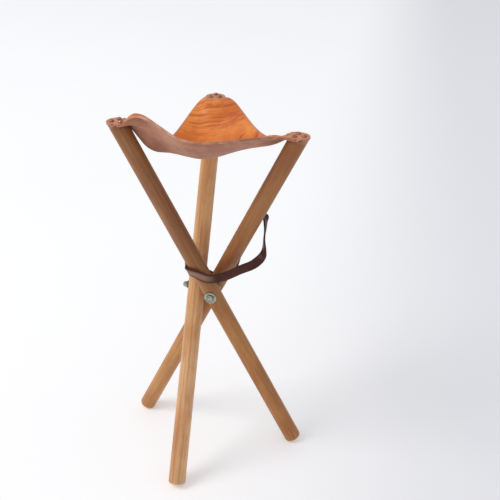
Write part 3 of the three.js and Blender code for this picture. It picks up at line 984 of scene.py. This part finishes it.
# ---- strap ----
# The loop's middle line from the crossing, and the way the band's width lies there.
STRAP_PATH = (
    ((-42.5, -20, 45.5), (-0.43, -0.06, 0.9)),
    ((-38, -33.5, 45.5), (-0.43, -0.06, 0.9)),
    ((-22.5, -40, 46), (-0.43, -0.06, 0.9)),
    ((-4, -36.5, 38), (-0.43, -0.06, 0.9)),
    ((20, -26, 38), (-0.4, 0, 0.9)),
    ((48, -16, 50), (-0.5, 0.1, 1)),
    ((72, -8, 61), (-0.7, 0.3, 1)),
    ((85, 0, 76), (-0.7, 1, 0.6)),
    ((85, 7, 103), (-0.2, 1, 0)),
    ((85, 15, 122), (0, 1, -0.1)),
    ((81, 27, 134), (0.2, 1, 0.1)),
    ((66, 35, 122), (0.6, 0.7, 0.2)),
    ((38, 36, 68), (0.9, 0, -0.5)),
    ((19, 42, 12), (0.7, 0, 0.3)),
    ((-4, 49.5, -8), (0.2, 0, 1)),
    ((-32, 43, 3), (0.1, 0.4, 1)),
    ((-51, 28, 20), (0, 0.45, 0.9)),
    ((-53, 5, 36), (0, 0.45, 0.9)),
)
STRAP_STEPS = 288


def loop_point(knots, share):
    """A point of the closed centripetal curve through the knots."""
    count = len(knots)
    place = share % 1 * count
    at = int(place)
    p0, p1, p2, p3 = (knots[(at + n) % count] for n in (-1, 0, 1, 2))
    d0, d1, d2 = (max(np.linalg.norm(q - p), 1e-4) ** 0.5 for p, q in ((p0, p1), (p1, p2), (p2, p3)))
    t1 = ((p1 - p0) / d0 - (p2 - p0) / (d0 + d1) + (p2 - p1) / d1) * d1
    t2 = ((p2 - p1) / d1 - (p3 - p1) / (d1 + d2) + (p3 - p2) / d2) * d1
    t = place - at
    return p1 + t1 * t + (3 * (p2 - p1) - 2 * t1 - t2) * t**2 + (2 * (p1 - p2) + t1 + t2) * t**3


def band_section(width, thickness):
    """The band's section: a flat oval with rounded edges, as (across, depth)."""
    half, deep, corner = width / 2, thickness / 2, 0.42 * thickness
    section = []
    for side in (1, -1):
        for step in range(5):
            turn = -math.pi / 2 + math.pi * step / 4
            across = side * (half - corner + corner * math.cos(turn))
            depth = side * deep * math.sin(turn)
            section.append((across, depth))
        section += [(side * half * share, side * deep * 1.0) for share in (0.5, 0, -0.5)]
    return section


def strap_rows():
    """Rings of points along the loop, with each point's place on the band."""
    knots = [np.array(at) + CROSSING for at, _ in STRAP_PATH]
    widths = [np.array(way) for _, way in STRAP_PATH]
    section = band_section(STRAP_WIDTH, STRAP_THICKNESS)
    rows, places = [], []
    travelled, last = 0, None
    for n in range(STRAP_STEPS):
        share = n / STRAP_STEPS
        centre = loop_point(knots, share)
        tangent = unit(loop_point(knots, share + 0.001) - loop_point(knots, share - 0.001))
        across = loop_point(widths, share)
        across = unit(across - (across @ tangent) * tangent)
        face = np.cross(tangent, across)
        travelled += 0 if last is None else np.linalg.norm(centre - last)
        last = centre
        wave = 0.25 * noise.noise(Vector((travelled / 14, 5.2, 0)))
        rows.append([centre + a * across + (d + wave) * face for a, d in section])
        places.append([(travelled, a, d) for a, d in section])
    return rows, places


def place_strap(material):
    rows, places = strap_rows()
    loop = mesh_object("strap_loop", [p for row in rows for p in row], skin(rows, True), material, sharp=60)
    store(loop.data, "band", np.array([p for row in places for p in row]) * MM)
    stands_for(loop, "strap", "pivot")


# ---- surroundings ----
def pale_floor():
    look = Finish("pale_floor")
    place = look.object_place()
    cloud = look.noise(place, 1.3, detail=2)
    colour = look.mix(cloud, srgb(245, 245, 247), srgb(249, 249, 250))
    # Painted shade: the floor's colour darkens towards +X, on the right, standing in for the key light
    # falling off.
    colour = look.mix(look.span(look.part(place, "X"), -0.1, 0.6), colour, srgb(216, 216, 221))
    half = 15000
    corners = [(-half, -half, 0), (half, -half, 0), (half, half, 0), (-half, half, 0)]
    material = look.done(
        Base_Color=colour, Roughness=0.9, Emission_Color=(1, 1, 1, 1), Emission_Strength=0.2
    )
    return mesh_object("floor", corners, [[0, 1, 2, 3]], material)


def area_light(name, place, size, power, colour=(1, 1, 1)):
    data = bpy.data.lights.new(name, "AREA")
    data.shape = "DISK"
    data.size = size
    data.energy = power
    data.color = colour
    light = bpy.data.objects.new(name, data)
    bpy.context.scene.collection.objects.link(light)
    aim = Vector((0, 0, 0.35)) - Vector(place)
    light.matrix_world = Matrix.Translation(place) @ aim.to_track_quat("-Z", "Y").to_matrix().to_4x4()


def set_light():
    world = bpy.data.worlds.new("studio")
    world.use_nodes = True
    background = world.node_tree.nodes["Background"]
    background.inputs["Color"].default_value = (0.95, 0.97, 1, 1)
    background.inputs["Strength"].default_value = 0.64
    bpy.context.scene.world = world
    bpy.context.scene.view_settings.view_transform = "Standard"
    area_light("key", (-5.2, -2.4, 6.4), 4.4, 240, (1, 0.98, 0.95))


# ---- the stool ----
SEAT_FINISHES = [seat_grain_finish(), seat_edge_finish(), seat_flesh_finish()]
ZINC = metal_finish("zinc_plate", srgb(176, 180, 166), srgb(120, 126, 110), 0.28, 0.5, 0.3)
COPPER = metal_finish("browned_metal", srgb(206, 142, 116), srgb(130, 78, 60), 0.3, 0.5, 0.8)

for leg in LEGS:
    make_leg(leg)
washer = (BOLT_RADIUS + CLEARANCE, WASHER_RADIUS, WASHER_THICKNESS)
make_washer("through_head_washer", washer, HEAD_FACE, -ALONG_BOLT, "pivot", ZINC)
make_washer("through_nut_washer", washer, NUT_FACE, ALONG_BOLT, "pivot", ZINC)
small_washer = (EYE_SHANK + CLEARANCE, SMALL_WASHER_RADIUS, SMALL_WASHER_THICKNESS)
make_washer("eye_washer", small_washer, EYE_NUT_FACE, ALONG_EYE, "leg_c", ZINC)
make_cap_nut("through_nut", NUT, NUT_FACE, ALONG_BOLT, "pivot", ZINC)
make_cap_nut("eye_nut", SMALL_NUT, EYE_NUT_FACE, ALONG_EYE, "leg_c", ZINC)
make_through_bolt(ZINC)
make_eye_bolt(ZINC)
place_seat()
place_screws(COPPER)
place_strap(strap_finish())

pale_floor()
set_light()
